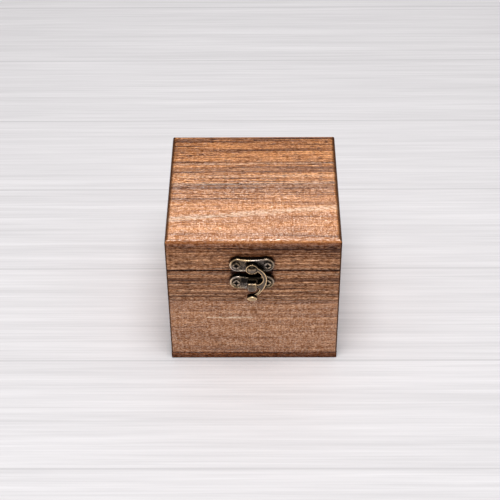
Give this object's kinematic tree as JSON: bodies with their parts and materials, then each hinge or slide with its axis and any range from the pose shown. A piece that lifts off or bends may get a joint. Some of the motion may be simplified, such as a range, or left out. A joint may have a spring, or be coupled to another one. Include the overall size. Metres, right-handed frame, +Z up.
{
  "type": "jack in the box",
  "caption": "Latch-type jack in the box: walnut box with hinged lid, bronze swing-hook clasp, and a capped ball-headed figure on a coil spring inside.",
  "frame": {"origin": "middle of the bottom face, on the surface that the box stands on", "axes": "+Z up, -Y towards the front with the clasp, +X to the right seen from the front"},
  "size_m": [0.11, 0.1246, 0.103],
  "materials": {
    "walnut": "satin oiled walnut with streaky grain",
    "walnut_dark": "darker walnut",
    "bronze": "antique bronze, dark with worn golden edges",
    "screw_metal": "antique bronze",
    "spring_steel": "drawn spring wire",
    "beech": "plain beech",
    "red_paint": "satin red paint on turned wood",
    "cream_felt": "wool felt",
    "head_paint": "satin paint on a turned wooden ball",
    "black_bead": "glossy black",
    "red_bead": "glossy red paint",
    "green_paint": "satin green paint on a turned wooden cap",
    "yellow_bead": "satin yellow paint"
  },
  "bodies": {
    "box": {"base_board": "walnut_dark", "front_wall": "walnut", "back_wall": "walnut", "left_wall": "walnut", "right_wall": "walnut", "catch_plate": "bronze", "catch_plate_screws": "screw_metal", "left_hinge_box_leaf": "bronze", "right_hinge_box_leaf": "bronze", "left_hinge_pin": "bronze", "right_hinge_pin": "bronze", "hinge_box_screws": "screw_metal", "spring_seat": "beech", "spring": "spring_steel"},
    "lid": {"lid_top": "walnut", "lid_front_rail": "walnut", "lid_back_rail": "walnut", "lid_left_rail": "walnut", "lid_right_rail": "walnut", "hook_plate": "bronze", "hook_plate_screws": "screw_metal", "hook_rivet": "bronze", "left_hinge_lid_leaf": "bronze", "right_hinge_lid_leaf": "bronze", "hinge_lid_screws": "screw_metal"},
    "hook": {"hook": "bronze"},
    "jack": {"spring_plate": "beech", "neck_dowel": "beech", "figure_body": "red_paint", "ruff": "cream_felt", "head": "head_paint", "eyes": "black_bead", "nose": "red_bead", "cap": "green_paint", "cap_bead": "yellow_bead"}
  },
  "joints": [
    {"name": "lid_hinge", "type": "hinge", "parent": "box", "child": "lid", "pos_m": [0, 0.05685, 0.0786], "axis": [-1, 0, 0], "range_deg": [0, 105]},
    {"name": "hook_swing", "type": "hinge", "parent": "lid", "child": "hook", "pos_m": [-0.0009, -0.05995, 0.08445], "axis": [0, -1, 0], "range_deg": [0, 120]},
    {"name": "jack_rise", "type": "slide", "parent": "box", "child": "jack", "axis": [0, 0, 1], "range_m": [0, 0.0991], "deforming": ["spring"]}
  ],
  "couplings": [
    {"joint": "jack_rise", "follows": "lid_hinge", "m_per_rad": 0.054}
  ]
}
